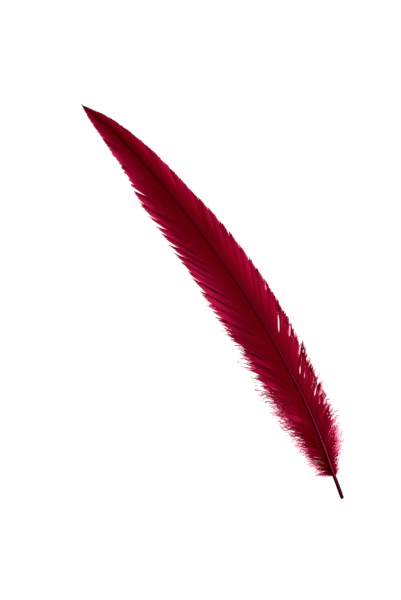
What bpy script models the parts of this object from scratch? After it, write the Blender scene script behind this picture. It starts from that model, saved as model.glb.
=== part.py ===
"""A rooster's tail feather, dyed burgundy, lying on a flat surface with its back up.

Units are metres. +X runs along the feather from the quill's end to the tip, +Y is the side of the wider
vane and +Z is up. The origin is the centre of the feather's footprint, on the surface it lies on.

A feather grows as one piece, so it is one solid: a tapered shaft, and on each side of it a vane that is
parted into locks of barbs. The vanes are thin sheets, cambered from the shaft down to their margins.
"""

import math
import random

import bmesh
import bpy
from mathutils import Vector

MM = 0.001

# Driving dimensions.
LENGTH = 283 * MM
BARE_QUILL = 15 * MM
LAST_ROOT = 277 * MM
VANE_THICKNESS = 0.55 * MM
QUILL_END_RADIUS = 0.75 * MM
QUILL_END_TAPER = 1.5 * MM

# How each quality changes along the feather: (distance from the quill's end, value), in mm or in degrees.
SHAFT_BOW = ((0, 0), (33, -8.3), (70, -14.2), (122, -18.5), (180, -17.0), (227, -12.4), (262, -6.4), (283, 0))
SHAFT_HEIGHT = ((0, 1.15), (15, 1.5), (60, 3.4), (120, 5.0), (180, 4.8), (235, 3.1), (270, 1.4), (283, 0.6))
SHAFT_RADIUS = ((0, 1.15), (15, 1.15), (50, 0.9), (100, 0.65), (170, 0.5), (240, 0.4), (283, 0.3))
WIDE_REACH = (
    (13, 5.5), (19, 9.5), (31, 13), (50, 16.8), (75, 19.2), (95, 20.8), (120, 21.1), (150, 20.4),
    (180, 19.4), (205, 17.6), (225, 14.9), (245, 10.7), (262, 7.2), (275, 3.8), (283, 0.3),
)
NARROW_REACH = (
    (13, 2), (21, 5.6), (29, 9), (40, 11.4), (60, 13.1), (90, 14.2), (120, 14.6), (155, 14.4),
    (180, 13), (205, 10.9), (230, 9), (256, 6.2), (270, 3.8), (283, 0.3),
)
BARB_ANGLE = ((13, 74), (25, 58), (40, 44), (60, 35), (90, 31), (120, 27), (150, 24), (190, 20), (235, 15), (283, 10))
LOCK_WIDTH = ((13, 2.6), (60, 2.6), (110, 3.3), (180, 4.0), (283, 3.4))

# The share of a lock's length from which it parts from the next one, and how high its tip may lift in mm.
SPLIT_FROM = ((13, 0.45), (60, 0.62), (110, 0.72), (180, 0.80), (240, 0.88), (283, 0.92))
LOCK_LIFT = ((13, 2.4), (45, 1.8), (90, 1.0), (160, 0.5), (283, 0.1))

# How far the loose ends of the barbs stand out past the vane's body, as a share of its reach.
FRINGE = ((13, 0.24), (40, 0.2), (60, 0.14), (90, 0.09), (130, 0.06), (200, 0.04), (240, 0.03), (283, 0.0))

# The shape of a barb and of the vane across. Shares are of a barb's length or of the vane's reach.
BARB_BEND = 0.1
CAMBER_POWER = 1.5
FLAT_MARGIN_FROM = 0.78
LOCK_RIDGE = 0.2 * MM
RIDGE_REACH = 0.8
LOCK_TAPER = 0.86
TAPER_POWER = 1.4
LIFT_POWER = 2
FAR_SIDE_LENGTH = 1.0
NEAR_SIDE_LENGTH = 0.92
TIP_LEANS_FORWARD = 0.6
LOCK_GAP = 0.35 * MM

# How much the locks differ from each other. Each vane has a seed of its own.
LEAST_LOCK_WIDTH = 0.75
GREATEST_LOCK_WIDTH = 1.3
LENGTH_SPREAD = 0.06
LIFTED_SHARE = 0.45
LEAST_LIFT = 0.3
WIDE_VANE_SEED = 11
NARROW_VANE_SEED = 23

# How finely the solid is worked out and faceted.
SHAFT_POINTS = 44
SHAFT_BEVEL_RESOLUTION = 2
BARB_ROWS = 7
LINES_PER_LOCK = 3
DIRECTION_STEP = 0.5 * MM
HALVINGS = 30
WELD_DISTANCE = 0.01 * MM

BURGUNDY = (0.165, 0.003, 0.022, 1.0)
KERATIN_ROUGHNESS = 0.55


def along(stations, distance):
    """The value at a distance from the quill's end, on a smooth curve through the stations."""
    x = min(max(distance / MM, stations[0][0]), stations[-1][0])
    last = len(stations) - 1
    i = min(sum(1 for place, _ in stations[1:] if place < x), last - 1)

    def slope(k):
        before, after = max(k - 1, 0), min(k + 1, last)
        return (stations[after][1] - stations[before][1]) / (stations[after][0] - stations[before][0])

    (x0, y0), (x1, y1) = stations[i], stations[i + 1]
    span = x1 - x0
    t = (x - x0) / span
    return (
        y0 * (1 + 2 * t) * (1 - t) ** 2
        + y1 * t * t * (3 - 2 * t)
        + slope(i) * span * t * (1 - t) ** 2
        - slope(i + 1) * span * t * t * (1 - t)
    )


def shaft_point(x):
    return Vector((x, along(SHAFT_BOW, x) * MM, along(SHAFT_HEIGHT, x) * MM))


def shaft_direction(x):
    """The shaft's direction in plan."""
    run = shaft_point(x + DIRECTION_STEP) - shaft_point(x - DIRECTION_STEP)
    return Vector((run.x, run.y, 0)).normalized()


def tip_station(root, reach, angle):
    """Where along the feather a barb ends: its tip meets the vane's outline."""
    low, high = root, LENGTH
    for _ in range(HALVINGS):
        middle = (low + high) / 2
        if middle - root < along(reach, middle) * MM / math.tan(angle):
            low = middle
        else:
            high = middle
    return low


def underside(station, offset, reach):
    """Height of the vane's underside, which runs from the shaft down to a margin that lies flat."""
    share = offset / (along(reach, station) * MM * FLAT_MARGIN_FROM)
    at_shaft = along(SHAFT_HEIGHT, station) * MM - VANE_THICKNESS / 2
    return max(0.0, at_shaft * (1 - min(share, 1) ** CAMBER_POWER))


def barb_point(side, root, share, reach):
    """A point on the underside of the barb that leaves the shaft at root, a share of the way to its tip.

    The barb's line is laid out along the bowed shaft: a station on it, and an offset square to it there.
    """
    angle = math.radians(along(BARB_ANGLE, root))
    forward = tip_station(root, reach, angle) - root
    station = root + forward * ((1 - BARB_BEND) * share + BARB_BEND * share * share)
    station = min(station, LENGTH)
    offset = forward * math.tan(angle) * ((1 + BARB_BEND) * share - BARB_BEND * share * share)
    ahead = shaft_direction(station)
    outward = Vector((-ahead.y, ahead.x, 0)) * side
    point = shaft_point(station) + outward * offset
    point.z = underside(station, offset, reach)
    return point


def lock_bounds(chooser):
    """Where the locks part from each other along the shaft. The last lock is at least as wide as usual."""
    bounds = [BARE_QUILL]
    while True:
        here = bounds[-1]
        usual = along(LOCK_WIDTH, here) * MM / math.sin(math.radians(along(BARB_ANGLE, here)))
        if here + 2 * usual > LAST_ROOT:
            return bounds + [LAST_ROOT]
        bounds.append(here + usual * chooser.uniform(LEAST_LOCK_WIDTH, GREATEST_LOCK_WIDTH))


def lock_lines(bounds, chooser):
    """For each lock, its root span, its share of the full length and how far its tip lifts."""
    locks = []
    for start, end in zip(bounds, bounds[1:]):
        middle = (start + end) / 2
        lift = along(LOCK_LIFT, middle) * MM * chooser.uniform(LEAST_LIFT, 1)
        if chooser.random() > LIFTED_SHARE:
            lift = 0.0
        length = 1 + along(FRINGE, middle) - LENGTH_SPREAD * chooser.random()
        locks.append((start, end, length, lift))
    return locks


def vane_sheet(name, side, reach, seed):
    """One vane: a grid bent into locks of barbs, parted near their tips, then given its thickness.

    A lock narrows to its tip, which lies towards its far side, the one nearer to the feather's tip.
    """
    chooser = random.Random(seed)
    locks = lock_lines(lock_bounds(chooser), chooser)
    columns = len(locks) * LINES_PER_LOCK
    sheet = bmesh.new()
    bmesh.ops.create_grid(sheet, x_segments=columns - 1, y_segments=BARB_ROWS, size=0.5)

    def place(vertex):
        column = round((vertex.co.x + 0.5) * (columns - 1))
        return column, (vertex.co.y + 0.5)

    def between_locks(face):
        column = min(place(vertex)[0] for vertex in face.verts)
        if column % LINES_PER_LOCK != LINES_PER_LOCK - 1:
            return False
        end = locks[column // LINES_PER_LOCK][1]
        return face.calc_center_median().y + 0.5 > along(SPLIT_FROM, end)

    bmesh.ops.delete(sheet, geom=[face for face in sheet.faces if between_locks(face)], context="FACES")

    for vertex in sheet.verts:
        column, share = place(vertex)
        start, end, length, lift = locks[column // LINES_PER_LOCK]
        line = column % LINES_PER_LOCK
        middle = (start + end) / 2
        half_gap = LOCK_GAP / 2 / math.sin(math.radians(along(BARB_ANGLE, middle)))
        start += half_gap
        end -= half_gap
        root = (start, middle, end)[line]
        split = along(SPLIT_FROM, middle)
        share *= (NEAR_SIDE_LENGTH, 1, FAR_SIDE_LENGTH)[line]
        parted = max(0.0, (share - split) / (1 - split))
        lock_tip = middle + (end - middle) * TIP_LEANS_FORWARD
        root += (lock_tip - root) * LOCK_TAPER * parted**TAPER_POWER
        vertex.co = barb_point(side, root, share * length, reach)
        vertex.co.z += lift * parted**LIFT_POWER
        if line == 1:
            vertex.co.z += LOCK_RIDGE * math.sin(math.pi * min(share / RIDGE_REACH, 1))
    bmesh.ops.recalc_face_normals(sheet, faces=sheet.faces)
    if sum(face.normal.z for face in sheet.faces) < 0:
        bmesh.ops.reverse_faces(sheet, faces=sheet.faces)
    mesh = bpy.data.meshes.new(name)
    sheet.to_mesh(mesh)
    sheet.free()
    vane = bpy.data.objects.new(name, mesh)
    thicken = vane.modifiers.new("thickness", "SOLIDIFY")
    thicken.thickness = VANE_THICKNESS
    thicken.offset = 1
    return vane


def shaft_tube(name):
    """The quill and rachis: one tube that thins towards the tip, with a short taper at the quill's end."""
    curve = bpy.data.curves.new(name, "CURVE")
    curve.dimensions = "3D"
    curve.bevel_depth = MM
    curve.bevel_resolution = SHAFT_BEVEL_RESOLUTION
    curve.use_fill_caps = True
    spline = curve.splines.new("POLY")
    stations = [0, QUILL_END_TAPER]
    stations += [LENGTH * k / SHAFT_POINTS for k in range(1, SHAFT_POINTS + 1)]
    spline.points.add(len(stations) - 1)
    for point, x in zip(spline.points, stations):
        point.co = (*shaft_point(x), 1)
        point.radius = along(SHAFT_RADIUS, x)
    spline.points[0].radius = QUILL_END_RADIUS / MM
    guide = bpy.data.objects.new(name + "_guide", curve)
    bpy.context.scene.collection.objects.link(guide)
    graph = bpy.context.evaluated_depsgraph_get()
    mesh = bpy.data.meshes.new_from_object(guide.evaluated_get(graph))
    welded = bmesh.new()
    welded.from_mesh(mesh)
    bmesh.ops.remove_doubles(welded, verts=welded.verts, dist=WELD_DISTANCE)
    bmesh.ops.recalc_face_normals(welded, faces=welded.faces)
    welded.to_mesh(mesh)
    welded.free()
    tube = bpy.data.objects.new(name, mesh)
    tube.matrix_world = guide.matrix_world
    bpy.data.objects.remove(guide)
    return tube


def dyed_keratin():
    material = bpy.data.materials.new("dyed_keratin")
    material.use_nodes = True
    shader = material.node_tree.nodes["Principled BSDF"]
    shader.inputs["Base Color"].default_value = BURGUNDY
    shader.inputs["Roughness"].default_value = KERATIN_ROUGHNESS
    shader.inputs["Metallic"].default_value = 0.0
    return material


def join_to(body, other, helpers):
    """Unites another solid with the body, and keeps the other as a hidden helper."""
    helpers.objects.link(other)
    other.hide_render = True
    other.display_type = "WIRE"
    union = body.modifiers.new("with_" + other.name, "BOOLEAN")
    union.operation = "UNION"
    union.object = other


def centre_on_footprint(objects, body):
    """Moves everything so that the origin is the centre of the footprint, on the surface."""
    bpy.context.view_layer.update()
    shape = body.evaluated_get(bpy.context.evaluated_depsgraph_get()).to_mesh()
    points = [vertex.co.copy() for vertex in shape.vertices]
    low = Vector([min(p[axis] for p in points) for axis in range(3)])
    high = Vector([max(p[axis] for p in points) for axis in range(3)])
    shift = Vector((-(low.x + high.x) / 2, -(low.y + high.y) / 2, -low.z))
    print("footprint centred by", [round(value / MM, 3) for value in shift], "mm")
    for item in objects:
        item.location = shift


def main():
    for old in list(bpy.data.objects):
        bpy.data.objects.remove(old)
    parts = bpy.data.collections.new("rooster_feather")
    helpers = bpy.data.collections.new("rooster_feather_helpers")
    for collection in (parts, helpers):
        bpy.context.scene.collection.children.link(collection)

    feather = shaft_tube("feather")
    feather.data.materials.append(dyed_keratin())
    parts.objects.link(feather)
    wide_vane = vane_sheet("wide_vane", 1, WIDE_REACH, WIDE_VANE_SEED)
    narrow_vane = vane_sheet("narrow_vane", -1, NARROW_REACH, NARROW_VANE_SEED)
    join_to(feather, wide_vane, helpers)
    join_to(feather, narrow_vane, helpers)
    centre_on_footprint((feather, wide_vane, narrow_vane), feather)


main()
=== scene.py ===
"""Looks of a rooster's tail feather, dyed burgundy, lying with its back up on a pale surface.

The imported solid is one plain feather. Here its shaft and every barb are modelled: the barbs of the two
vanes, which lie side by side in locks that part towards the margins, and the down at the foot.
Lengths are in metres. The feather is laid out from its quill's end, with +X to the tip, +Y to the wider
vane and +Z up, and each piece is then moved to where the solid has its quill's end.
Tables of stations give (distance from the quill's end in mm, value), with lengths in mm too.
"""

import math
from collections import namedtuple

import bpy
import numpy as np
from mathutils import Matrix, Vector


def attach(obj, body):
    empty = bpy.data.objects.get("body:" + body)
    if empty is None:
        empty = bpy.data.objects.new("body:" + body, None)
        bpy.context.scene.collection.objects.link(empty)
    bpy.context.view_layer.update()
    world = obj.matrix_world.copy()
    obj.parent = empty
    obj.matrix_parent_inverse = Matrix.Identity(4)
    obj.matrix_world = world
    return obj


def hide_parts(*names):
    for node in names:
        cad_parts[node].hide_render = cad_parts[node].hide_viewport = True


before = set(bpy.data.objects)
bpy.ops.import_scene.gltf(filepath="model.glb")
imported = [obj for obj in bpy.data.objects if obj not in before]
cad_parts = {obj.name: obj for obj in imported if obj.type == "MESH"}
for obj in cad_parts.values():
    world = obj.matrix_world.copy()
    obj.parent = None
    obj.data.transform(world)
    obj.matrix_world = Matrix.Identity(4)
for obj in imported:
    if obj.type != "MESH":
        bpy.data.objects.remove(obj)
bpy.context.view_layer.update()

MM = 0.001
UPWARDS = np.array([0, 0, 1.0])

# The solid's driving dimensions.
LENGTH = 283 * MM
BARE_QUILL = 15 * MM
SHAFT_BOW = ((0, 0), (33, -8.3), (70, -14.2), (122, -18.5), (180, -17.0), (227, -12.4), (262, -6.4), (283, 0))
SHAFT_HEIGHT = ((0, 1.15), (15, 1.5), (60, 3.4), (120, 5.0), (180, 4.8), (235, 3.1), (270, 1.4), (283, 0.6))
WIDE_REACH = (
    (13, 5.5), (19, 9.5), (31, 13), (50, 16.8), (75, 19.2), (95, 20.8), (120, 21.1), (150, 20.4),
    (180, 19.4), (205, 17.6), (225, 14.9), (245, 10.7), (262, 7.2), (275, 3.8), (283, 0.3),
)
NARROW_REACH = (
    (13, 2), (21, 5.6), (29, 9), (40, 11.4), (60, 13.1), (90, 14.2), (120, 14.6), (155, 14.4),
    (180, 13), (205, 10.9), (230, 9), (256, 6.2), (270, 3.8), (283, 0.3),
)
CAMBER_POWER = 1.5
FLAT_MARGIN_FROM = 0.78

# The barbs' own: where the first and the last leave the shaft, how far the feather's tip stands past the
# solid's, how far below the shaft's axis the vanes leave it, the barbs' angle in degrees, and their bend.
FIRST_ROOT = 14.3 * MM
LAST_ROOT = 281.5 * MM
TIP_BEYOND = 1.1 * MM
VANE_BELOW_AXIS = 0.2 * MM
BARB_ANGLE = (
    (13, 82), (25, 60), (40, 44), (60, 35), (90, 31), (120, 27), (150, 24), (190, 20), (235, 15), (283, 9),
)
BARB_BEND = ((13, -0.25), (60, -0.2), (95, 0), (135, 0.1), (283, 0.1))

# By where a barb ends: its length as a share of the solid's, and the further share of a few strands.
WIDE_LENGTH = (
    (13, 0.97), (40, 0.95), (55, 0.99), (75, 0.95), (95, 0.98), (135, 1.04), (155, 1.01), (195, 1.03),
    (220, 1.05), (235, 0.99), (262, 1.04), (283, 1),
)
NARROW_LENGTH = (
    (13, 0.6), (18, 0.7), (24, 0.84), (33, 0.93), (45, 0.99), (60, 1.01), (75, 1.02), (95, 1.02), (135, 1.03),
    (160, 1.02), (182, 1.06), (205, 1.04), (225, 1.08), (245, 1.07), (262, 1.03), (274, 1.03), (283, 1),
)
WIDE_FRINGE = (
    (13, 0.38), (25, 0.28), (40, 0.22), (60, 0.2), (80, 0.26), (100, 0.24), (112, 0.12), (125, 0.08),
    (145, 0.06), (200, 0.03), (240, 0.02), (283, 0),
)
NARROW_FRINGE = (
    (13, 0.5), (25, 0.4), (40, 0.28), (60, 0.15), (90, 0.1), (115, 0.05), (145, 0.04), (200, 0.03),
    (240, 0.02), (283, 0),
)

# The photograph's frame, in pixels with y down, and its scale.
PHOTO_SIZE = (401, 600)
PHOTO_QUILL_END = (342.7, 498.6)
PHOTO_TIP = (82.0, 105.0)
MM_PER_PIXEL = 0.6
CAMERA_HEIGHT = 0.95
SUBJECT_HEIGHT = 0.6 * MM
SENSOR_LONG_SIDE = 36.0

# How finely the form is worked out.
DIRECTION_STEP = 0.5 * MM
SLOPE_STEP = 0.15 * MM
HALVINGS = 30
SHORTEST_VECTOR = 1e-12


def along(stations, x):
    """Values at distances x from the quill's end, on a smooth curve through the stations."""
    places = np.array([station[0] for station in stations], float)
    values = np.array([station[1] for station in stations], float)
    slopes = np.empty_like(values)
    slopes[1:-1] = (values[2:] - values[:-2]) / (places[2:] - places[:-2])
    slopes[0] = (values[1] - values[0]) / (places[1] - places[0])
    slopes[-1] = (values[-1] - values[-2]) / (places[-1] - places[-2])
    x = np.clip(np.asarray(x, float) / MM, places[0], places[-1])
    i = np.clip(np.searchsorted(places, x) - 1, 0, len(places) - 2)
    span = places[i + 1] - places[i]
    t = (x - places[i]) / span
    return (
        values[i] * (1 + 2 * t) * (1 - t) ** 2
        + values[i + 1] * t * t * (3 - 2 * t)
        + slopes[i] * span * t * (1 - t) ** 2
        - slopes[i + 1] * span * t * t * (1 - t)
    )


def between(table, x):
    """Values at x on straight lines between a table's (place, value) pairs."""
    return np.interp(x, *zip(*table))


def smoothstep(none, full, x):
    """Rises smoothly from 0 where x is at none to 1 where it is at full, which may be the lower place."""
    t = np.clip((np.asarray(x, float) - none) / (full - none), 0, 1)
    return t * t * (3 - 2 * t)


def unit(vectors):
    """The vectors at unit length."""
    return vectors / np.maximum(np.linalg.norm(vectors, axis=-1, keepdims=True), SHORTEST_VECTOR)


# The feather's form.


def shaft_at(x):
    """Points of the shaft's axis."""
    return np.stack([np.asarray(x, float), along(SHAFT_BOW, x) * MM, along(SHAFT_HEIGHT, x) * MM], axis=-1)


def ahead_at(x):
    """Unit vectors along the shaft in plan."""
    run = shaft_at(x + DIRECTION_STEP) - shaft_at(x - DIRECTION_STEP)
    run[..., 2] = 0
    return unit(run)


def barb_angle(root):
    """The angle between a barb and the shaft, in radians."""
    return np.radians(along(BARB_ANGLE, root))


def tip_station(root, reach):
    """Where along the feather each barb's tip meets the vane's outline."""
    low = root.copy()
    high = np.full_like(root, LENGTH)
    rise = np.tan(barb_angle(root))
    for _ in range(HALVINGS):
        middle = (low + high) / 2
        short = middle - root < along(reach, middle) * MM / rise
        low, high = np.where(short, middle, low), np.where(short, high, middle)
    return low


def barb_run(roots, reach):
    """The length of each full barb, on a straight line."""
    return (tip_station(roots, reach) - roots) / np.cos(barb_angle(roots))


def surface_height(points, reach):
    """Height of the vane over the table at the points' places in plan."""
    x, y = points[..., 0], points[..., 1]
    lean = ahead_at(x)[..., 0]
    offset = np.abs(y - along(SHAFT_BOW, x) * MM) * lean
    share = np.clip(offset / (along(reach, x) * MM * FLAT_MARGIN_FROM), 0, 1)
    return (along(SHAFT_HEIGHT, x) * MM - VANE_BELOW_AXIS) * (1 - share**CAMBER_POWER)


def barb_lines(side, reach, roots, t, slide):
    """Centre lines of barbs in the vane's surface: barbs x rings x 3. t is the share of a full barb.

    A line is laid out along the bowed shaft: a station on it, and an offset square to it there.
    """
    forward = tip_station(roots, reach) - roots
    across = forward * np.tan(barb_angle(roots))
    bend = along(BARB_BEND, roots)[:, None]
    station = roots[:, None] + forward[:, None] * ((1 - bend) * t + bend * t * t) + slide
    station = np.minimum(station, LENGTH + TIP_BEYOND)
    offset = across[:, None] * ((1 + bend) * t - bend * t * t)
    ahead = ahead_at(station)
    outward = np.stack([-ahead[..., 1], ahead[..., 0], 0 * ahead[..., 0]], axis=-1) * side
    line = shaft_at(station) + outward * offset[..., None]
    line[..., 2] = surface_height(line, reach)
    return line


def sideways_of(line):
    """Unit vectors level with the table and square to each line."""
    return unit(np.cross(unit(np.gradient(line, axis=1)), UPWARDS))


def across_and_up(line, side, reach):
    """Each ring's sideways and upward unit vectors, in the vane's surface."""
    forward = unit(np.gradient(line, axis=1))
    flat = unit(np.cross(UPWARDS, forward)) * side
    probe = flat * SLOPE_STEP
    slope = surface_height(line + probe, reach) - surface_height(line - probe, reach)
    across = flat.copy()
    across[..., 2] += slope / (2 * SLOPE_STEP)
    across = unit(across - forward * np.sum(across * forward, axis=-1, keepdims=True))
    up = unit(np.cross(forward, across)) * side
    return across, up


# Meshes made of many closed strands.


def paired(u, v):
    """Places on the bake's map from their two coordinates."""
    return np.stack(np.broadcast_arrays(u, v), axis=-1)


class Bundle:
    """Collects closed strands and spikes, with the glow that their material reads, and makes one mesh."""

    # On the bake's map the strands have strips in columns, above a band of cells for the spikes.
    STRAND_COLUMNS = 4
    STRANDS_FROM = 0.2
    STRIP_WIDTH = 0.98
    SPIKE_COLUMNS = 64
    SPIKE_BAND = 0.19
    SPIKE_IN_CELL = ((0.1, 0.1), (0.1, 0.9), (0.9, 0.5))
    SPIKE_FACES = ((0, 1, 3), (1, 2, 3), (2, 0, 3), (2, 1, 0))

    def __init__(self):
        self.points = []
        self.faces = []
        self.corners = []
        self.glow = []
        self.count = 0

    def strands(self, rings, glow):
        """Closed strands: rings is strands x rings x profile points x 3, and glow fits its first three."""
        strands, length, around = rings.shape[:3]
        first = self.count + np.arange(strands)[:, None, None] * length * around
        ring = np.arange(length - 1)[None, :, None]
        turn = np.arange(around)[None, None, :]
        onward = (turn + 1) % around
        here = first + ring * around
        quads = np.stack([here + turn, here + onward, here + around + onward, here + around + turn], axis=-1)
        self.faces += quads.reshape(-1, 4).tolist()
        foot = first[:, 0] + np.arange(around)[None, ::-1]
        self.faces += foot.tolist()
        self.faces += (foot[:, ::-1] + (length - 1) * around).tolist()
        self.corners.append(self.strip_corners(strands, length, around))
        self.points.append(rings.reshape(-1, 3))
        self.glow.append(np.broadcast_to(glow, (strands, length, around)).ravel())
        self.count += strands * length * around

    def strip_corners(self, strands, length, around):
        """The bake's map of strands: each has a strip of its own, with its length along the strip."""
        rows = -(-strands // self.STRAND_COLUMNS)
        number = np.arange(strands)[:, None, None]
        left = (number % self.STRAND_COLUMNS) / self.STRAND_COLUMNS
        base = self.STRANDS_FROM + (1 - self.STRANDS_FROM) * (number // self.STRAND_COLUMNS) / rows
        wide = self.STRIP_WIDTH / self.STRAND_COLUMNS
        high = (1 - self.STRANDS_FROM) / rows
        ring = np.arange(length - 1)[None, :, None]
        turn = np.arange(around)[None, None, :]
        u0, u1 = left + wide * ring / (length - 1), left + wide * (ring + 1) / (length - 1)
        v0, v1 = base + high * turn / around, base + high * (turn + 1) / around
        around_quad = ((u0, v0), (u0, v1), (u1, v1), (u1, v0))
        quads = np.stack([paired(u, v) for u, v in around_quad], axis=-2).reshape(-1, 2)
        foot = paired(left[..., 0], base[..., 0] + high * turn[0, :, ::-1] / around)
        tip = foot[:, ::-1] + np.array([wide, 0.0])
        return np.concatenate([quads, foot.reshape(-1, 2), tip.reshape(-1, 2)])

    def spikes(self, feet, tips, glow):
        """Closed three-sided spikes: feet is spikes x 3 x 3 and tips is spikes x 3."""
        n = len(tips)
        number = np.arange(n)
        cell = np.stack([number % self.SPIKE_COLUMNS, number // self.SPIKE_COLUMNS], axis=-1)
        size = np.array([1 / self.SPIKE_COLUMNS, self.SPIKE_BAND / (n // self.SPIKE_COLUMNS + 1)])
        corners = ((cell[:, None] + np.array(self.SPIKE_IN_CELL)[None]) * size).reshape(-1, 2)
        for face in self.SPIKE_FACES:
            self.faces += (self.count + 4 * number[:, None] + np.array(face)[None]).tolist()
            self.corners.append(corners)
        self.points.append(np.concatenate([feet, tips[:, None]], axis=1).reshape(-1, 3))
        self.glow.append(np.repeat(glow, 4))
        self.count += 4 * n

    def piece(self, name, material, origin):
        """One object of all that was collected, with the feather's quill end moved to the origin given."""
        mesh = bpy.data.meshes.new(name)
        points = np.concatenate(self.points) + np.array(origin)
        mesh.from_pydata(points.tolist(), [], self.faces)
        layer = mesh.attributes.new("glow", "FLOAT", "POINT")
        layer.data.foreach_set("value", np.concatenate(self.glow).astype(np.float32))
        bake_map = mesh.uv_layers.new(name="OFBake")
        bake_map.uv.foreach_set("vector", np.concatenate(self.corners).astype(np.float32).ravel())
        mesh.materials.append(material)
        mesh.shade_smooth()
        made = bpy.data.objects.new(name, mesh)
        bpy.context.scene.collection.objects.link(made)
        triangles = sum(len(face) - 2 for face in self.faces)
        print(f"{name}: {triangles} triangles, {len(self.faces)} faces")
        return made


# The locks of a vane. A lock ends at its tip: (station of the tip, width of the gap beyond it, share of
# the barb where the gap opens, share where it closes again). SPLIT_FROM gives the third where it is None,
# and a gap whose fourth is OPEN runs out through the margin. Where no tip is listed, chance places them.
OPEN = 9.0
WIDE_LOCK_TIPS = (
    (113, 1.0, 0.80, OPEN), (122, 0.6, None, OPEN), (133, 0.8, None, OPEN), (143, 0.9, None, OPEN),
    (152, 0.8, None, OPEN), (162, 0.9, 0.82, OPEN), (167, 0.5, None, OPEN), (174, 0.4, None, OPEN),
    (181, 1.2, 0.80, OPEN), (188, 1.7, 0.80, OPEN), (195, 0.6, None, OPEN), (202, 1.9, 0.80, OPEN),
    (207, 0.5, None, OPEN), (216, 0.1, None, OPEN), (227, 1.4, 0.75, OPEN), (231, 0.6, None, OPEN),
    (245, 0.4, None, OPEN), (262, 0.2, None, OPEN),
)
NARROW_LOCK_TIPS = (
    (62, 0.5, 0.55, 0.78), (69, 0.6, 0.50, 0.84), (76, 0.35, 0.3, 0.46), (84, 0.4, 0.44, 0.66),
    (90, 0.65, 0.32, 0.62), (93, 0.6, 0.68, 0.98), (99, 0.45, 0.36, 0.56), (107, 0.7, 0.64, 0.99),
    (115, 0.5, None, OPEN), (121, 0.8, 0.33, 0.76), (135, 0.6, 0.76, 1), (145, 0.5, None, OPEN),
    (152, 0.5, None, OPEN), (161, 0.4, None, OPEN), (171, 0.4, None, OPEN), (179, 0.3, None, OPEN),
    (189, 0.3, None, OPEN), (197, 0.2, None, OPEN), (204, 0.2, None, OPEN), (210, 0.1, None, OPEN),
    (222, 0.1, None, OPEN), (240, 0.05, None, OPEN),
)
CLEAR_BEFORE_LISTED = 1.5 * MM
CLEAR_AFTER_LISTED = 4 * MM
ROOT_SAMPLES = 500
ROOT_SPREAD = (0.6, 1.45)
LOCK_WIDTH = ((13, 2.4), (60, 2.8), (110, 3.6), (180, 4.4), (283, 3.6))
SPLIT_FROM = ((13, 0.86), (60, 0.86), (110, 0.86), (180, 0.88), (240, 0.93), (283, 0.95))
SPLIT_SPREAD = 0.06
LATEST_SPLIT = 0.95
GAP = ((13, 0.5), (60, 0.5), (110, 0.5), (180, 0.4), (240, 0.12), (283, 0.05))
GAP_SPREAD = (0.25, 1)
GAP_POWER = 1.3
SLIT_END = 0.12

# A gap is made by the barbs on both sides of it, which slide away from it by these shares of its width.
SLIDE_PAST_GAP = 0.3
SLIDE_BEFORE_GAP = 0.7

# Each lock is crowned across, more so from the first share of its length to the second, and its tip lifts.
LOCK_CROWN = ((13, 0.14), (60, 0.12), (110, 0.1), (150, 0.06), (180, 0.04), (240, 0.02), (283, 0.01))
CROWN_SPREAD = (0.5, 1.4)
CROWN_OVER = (0.08, 0.6)
LOCK_LIFT = ((13, 1.4), (45, 1), (90, 0.6), (160, 0.25), (230, 0.1), (283, 0.05))
LAYING_DEPTH = 0.14 * MM

# How the barbs' lengths differ: along a lock, from lock to lock, from tuft to tuft and from barb to barb.
LOCK_SAW = ((13, 0.02), (60, 0.05), (110, 0.08), (200, 0.07), (245, 0.04), (270, 0.01), (283, 0))
SAW_SPREAD = (0.7, 1.3)
SAW_MIDDLE = 0.6
NOTCH_LIMITS = (0.15, 1.4)
NICKS = ((13, 0.012), (110, 0.010), (180, 0.012), (240, 0.016), (270, 0.020), (283, 0.01))
NICK_BARBS = 3
LOCK_IN_FRINGE = (-0.25, 0.1)
TUFT_IN_FRINGE = (-0.4, 0.3)
STRAND_IN_FRINGE = (0.2, 1)
STRAND_CHANCE = 0.6
LENGTH_SPREAD = 0.002
LOOSE_LENGTH_SPREAD = 0.04
LOOSE_LENGTH_POWER = 1.5
SHORTEST_BARB = 0.5
BEND_BACK = 1.2 * MM

# The barbs of a tuft cling together past a share of their length, and the looser, the more they wander.
TUFT_RUN = (BARE_QUILL - MM, LAST_ROOT + 5 * MM)
TUFT_WIDTH = ((13, 1.5), (60, 1.6), (110, 1.5), (180, 1.3), (283, 1.2))
TUFT_CLUMPING = (
    (13, 0.95), (30, 0.8), (60, 0.65), (90, 0.45), (120, 0.2), (190, 0.08), (240, 0), (283, 0),
)
CLUMPING_SPREAD = (0.5, 1.2)
CLOSEST_CLUMPING = 0.95
CLUMPED_BY = 1.04
WIDE_CLUMPS_FROM = (
    (13, 0.74), (28, 0.76), (40, 0.8), (60, 0.84), (85, 0.87), (110, 0.9), (180, 0.94), (283, 0.96),
)
NARROW_CLUMPS_FROM = (
    (13, 0.25), (22, 0.45), (28, 0.58), (40, 0.72), (60, 0.84), (85, 0.9), (110, 0.92), (180, 0.94),
    (283, 0.96),
)
LOOSENESS = (
    (13, 1), (50, 0.85), (80, 0.6), (115, 0.32), (150, 0.12), (190, 0.06), (235, 0.02), (283, 0),
)
WAVES = ((3.2 * MM, 0.36 * MM), (5.5 * MM, 0.5 * MM), (11 * MM, 0.7 * MM))
OWN_WAVES = 0.3
WANDERS_SOONER = 0.1
WANDERS_BY = 1.1
LEAST_WANDER = 0.06
WANDER_POWER = 1.4
STRAY_RISE = 0.02 * MM
LOOSE_STRAY_RISE = 0.5 * MM
STRAY_POWER = 1.6

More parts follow.
